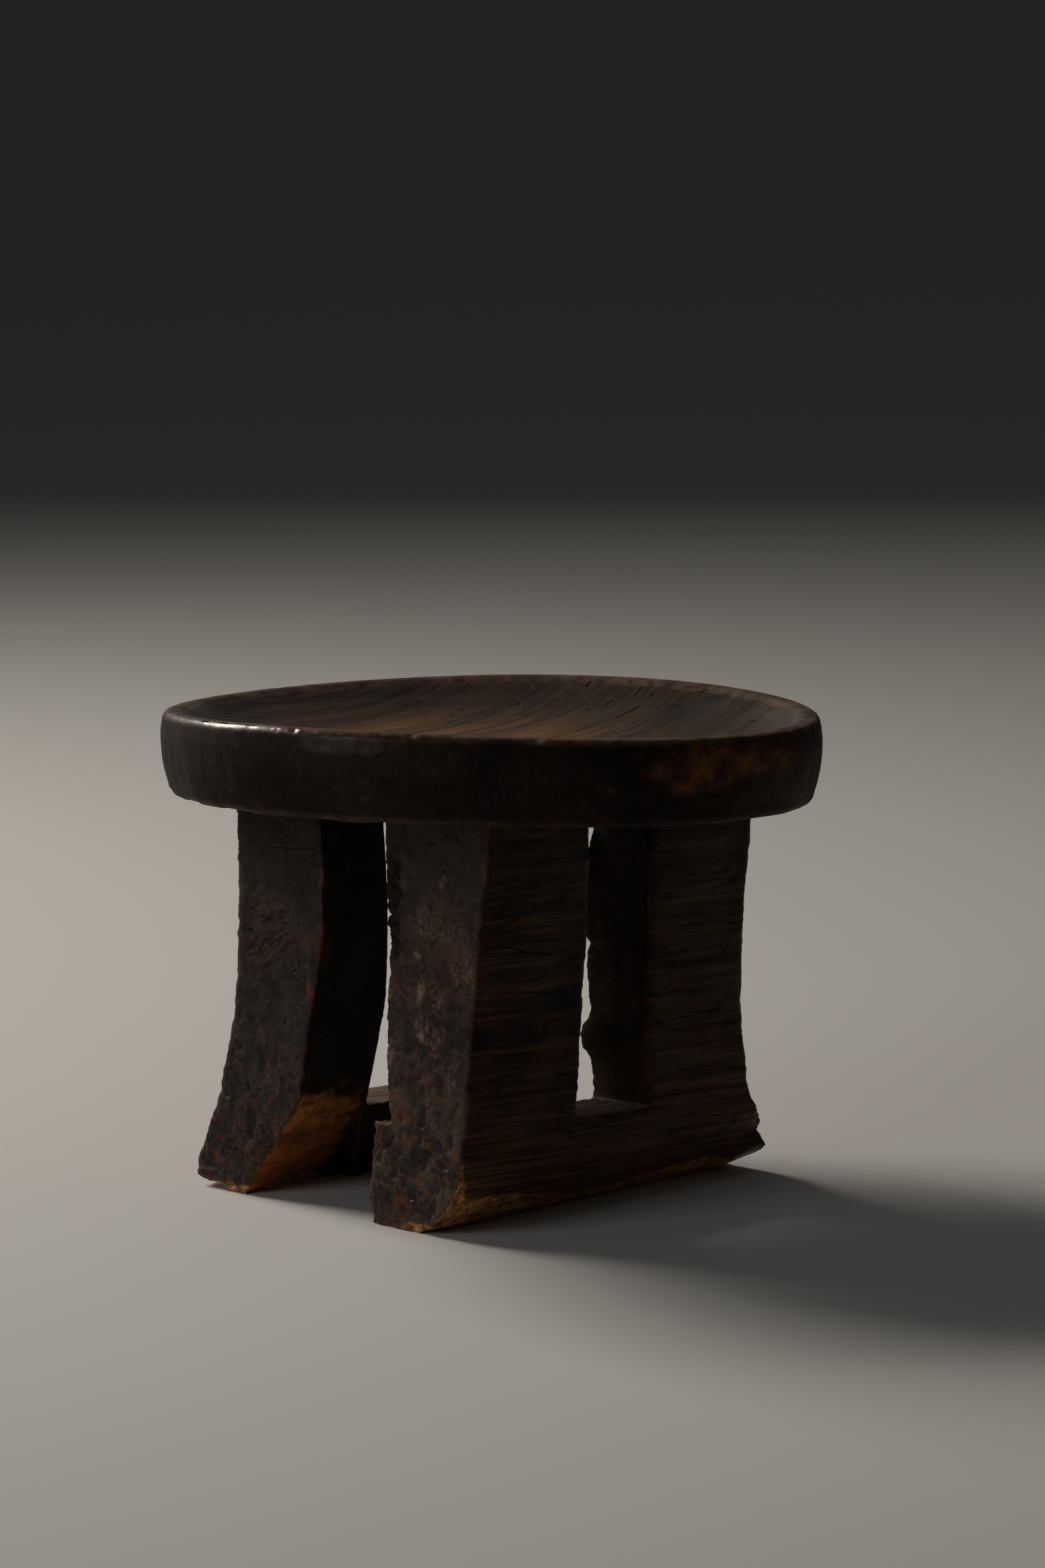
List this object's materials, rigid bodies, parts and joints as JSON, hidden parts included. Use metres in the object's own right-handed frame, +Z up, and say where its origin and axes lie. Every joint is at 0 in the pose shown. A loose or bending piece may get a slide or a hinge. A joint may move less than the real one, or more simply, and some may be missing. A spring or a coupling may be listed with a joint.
{
  "type": "carved wooden stool",
  "caption": "Low stool carved from one hardwood block: round dished seat on slotted sled frames with ground runners.",
  "frame": {"origin": "on the ground, under the middle of the stool's box", "axes": "+Z up; X along the runners with the front at -X; Y across the frames with the right frame at -Y"},
  "size_m": [0.3598, 0.36, 0.2709],
  "materials": {
    "seat_wood": "dark brown patina, satin from handling",
    "right_frame_wood": "dark brown patina, dry, with tan wear at the soles",
    "left_frame_wood": "dark grey-brown patina, with a tan break on the front foot"
  },
  "bodies": {
    "root": {"seat": "seat_wood", "right_front_leg": "right_frame_wood", "right_rear_leg": "right_frame_wood", "right_runner": "right_frame_wood", "left_front_leg": "left_frame_wood", "left_rear_leg": "left_frame_wood", "left_runner": "left_frame_wood"}
  },
  "joints": []
}
